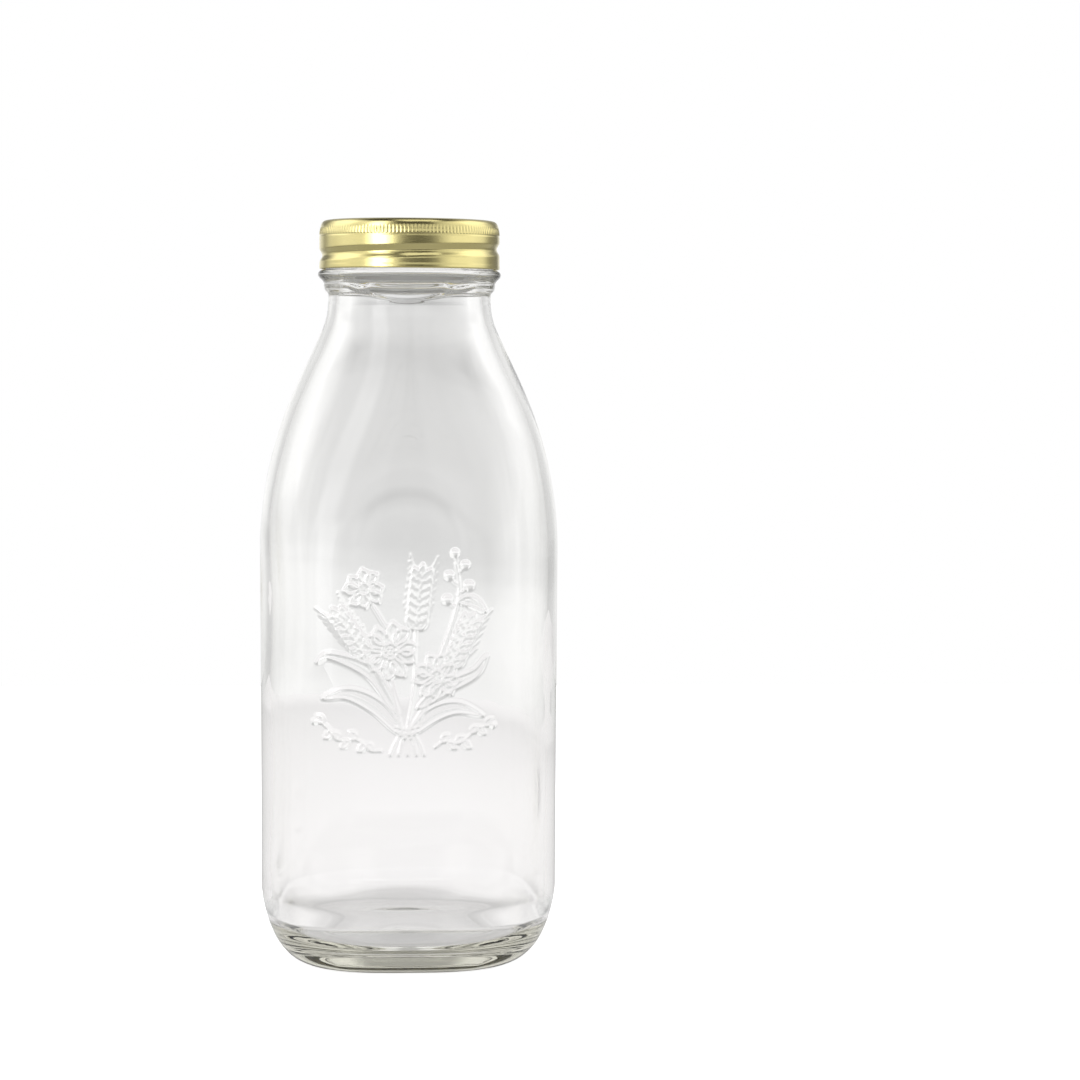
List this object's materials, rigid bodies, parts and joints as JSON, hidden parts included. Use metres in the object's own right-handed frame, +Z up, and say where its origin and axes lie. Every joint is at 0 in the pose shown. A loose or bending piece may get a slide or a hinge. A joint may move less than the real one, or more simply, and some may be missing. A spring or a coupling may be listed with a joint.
{
  "type": "glass milk bottle",
  "caption": "Clear glass milk bottle with a rounded-square body, arched side panel, round screw neck and a gold tinplate screw cap with a loose white liner.",
  "frame": {"origin": "centre of the foot, on the surface the bottle stands on", "axes": "+Z up through the neck and cap; the decorated panel faces -Y, with +X to its right"},
  "size_m": [0.0904, 0.09, 0.224],
  "materials": {
    "clear_glass": "clear soda-lime glass, fire-polished, faint grey-green tint in the thick base",
    "white_liner": "soft white sealing wad",
    "gold_tinplate": "satin pale-gold lacquer on thin tinplate"
  },
  "bodies": {
    "bottle": {"bottle": "clear_glass"},
    "liner": {"cap_liner": "white_liner"},
    "cap": {"cap_shell": "gold_tinplate"}
  },
  "joints": [
    {"name": "cap_lift", "type": "slide", "parent": "bottle", "child": "liner", "axis": [0, 0, 1], "range_m": [0, 0.017]},
    {"name": "cap_turn", "type": "hinge", "parent": "liner", "child": "cap", "pos_m": [0, 0, 0.2165], "axis": [0, 0, 1], "range_deg": [0, 1440]}
  ],
  "couplings": [
    {"joint": "cap_lift", "follows": "cap_turn", "m_per_rad": 0.00066845}
  ]
}
